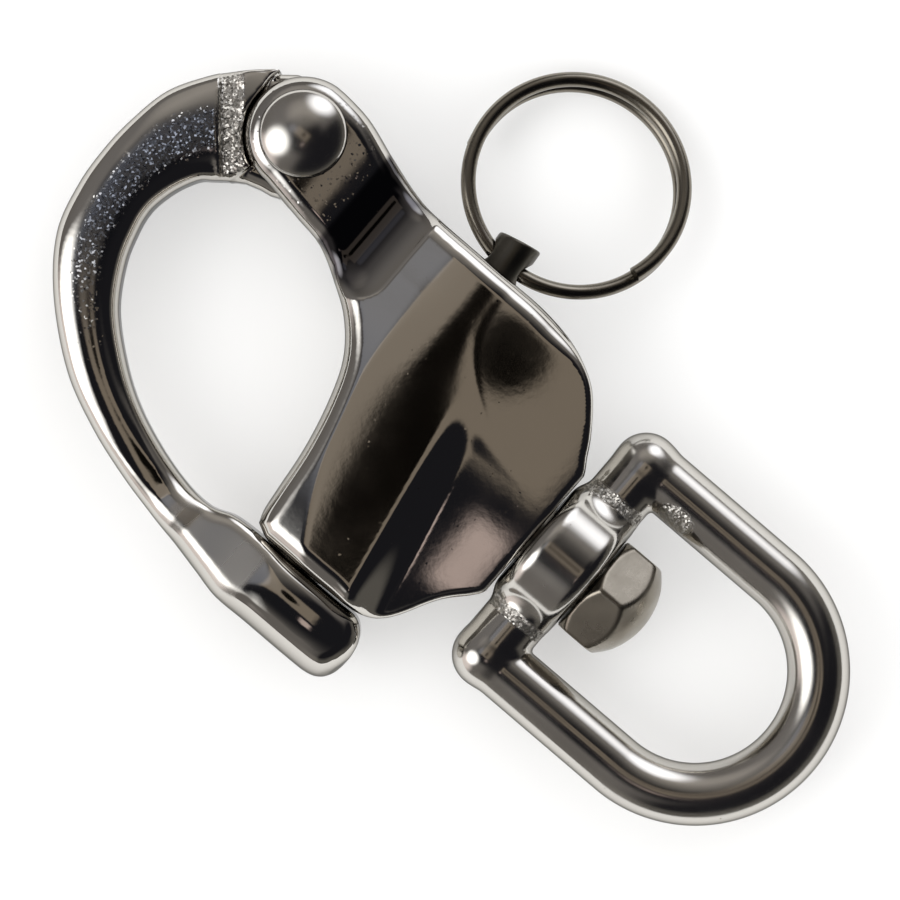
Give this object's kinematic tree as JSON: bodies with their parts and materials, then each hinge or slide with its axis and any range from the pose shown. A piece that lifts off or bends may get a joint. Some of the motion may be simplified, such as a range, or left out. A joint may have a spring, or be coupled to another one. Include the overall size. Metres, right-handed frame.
{
  "type": "snap shackle",
  "caption": "Swivel-eye snap shackle: cast body with a hinged hook, a spring plunger that locks the hook's toe, a pull ring to free it and a turning eye on a hex bolt.",
  "frame": {"origin": "centre of the eye's round bow, on the swivel axis and in the mid-plane of the shackle", "axes": "+X along the swivel axis, the way the eye is pulled; +Z across the flat of the shackle; the hinge rivet and the pull ring lie on the +Y side"},
  "size_m": [0.0868, 0.0612, 0.014],
  "materials": {
    "polished_casting": "investment-cast stainless steel, barrel and buff polished",
    "polished_rivet": "cold-headed stainless steel, buff polished",
    "drawn_pin": "drawn stainless bar, dark satin",
    "spring_wire": "drawn spring wire",
    "ring_wire": "drawn spring wire, lightly polished",
    "turned_bolt": "turned hexagon bar, satin"
  },
  "bodies": {
    "body": {"body": "polished_casting", "hinge_rivet": "polished_rivet", "swivel_bolt": "turned_bolt", "plunger_spring": "spring_wire"},
    "hook": {"hook": "polished_casting"},
    "plunger": {"plunger_pin": "drawn_pin"},
    "pull_ring": {"pull_ring": "ring_wire"},
    "eye": {"swivel_eye": "polished_casting"}
  },
  "joints": [
    {"name": "hook_pivot", "type": "hinge", "parent": "body", "child": "hook", "pos_m": [-0.05925, 0.014, 0], "axis": [0, 0, -1], "range_deg": [0, 95]},
    {"name": "plunger_slide", "type": "slide", "parent": "body", "child": "plunger", "axis": [-0.0872, 0.9962, 0], "range_m": [0, 0.006], "stiffness_N_per_m": 800, "springref_m": -0.006, "deforming": ["plunger_spring"]},
    {"name": "ring_swing", "type": "hinge", "parent": "plunger", "child": "pull_ring", "pos_m": [-0.03767, 0.0172, 0], "axis": [0.9962, 0.0872, 0], "range_deg": [-60, 90]},
    {"name": "swivel", "type": "hinge", "parent": "body", "child": "eye", "pos_m": [-0.016, 0, 0], "axis": [1, 0, 0], "continuous": true}
  ]
}
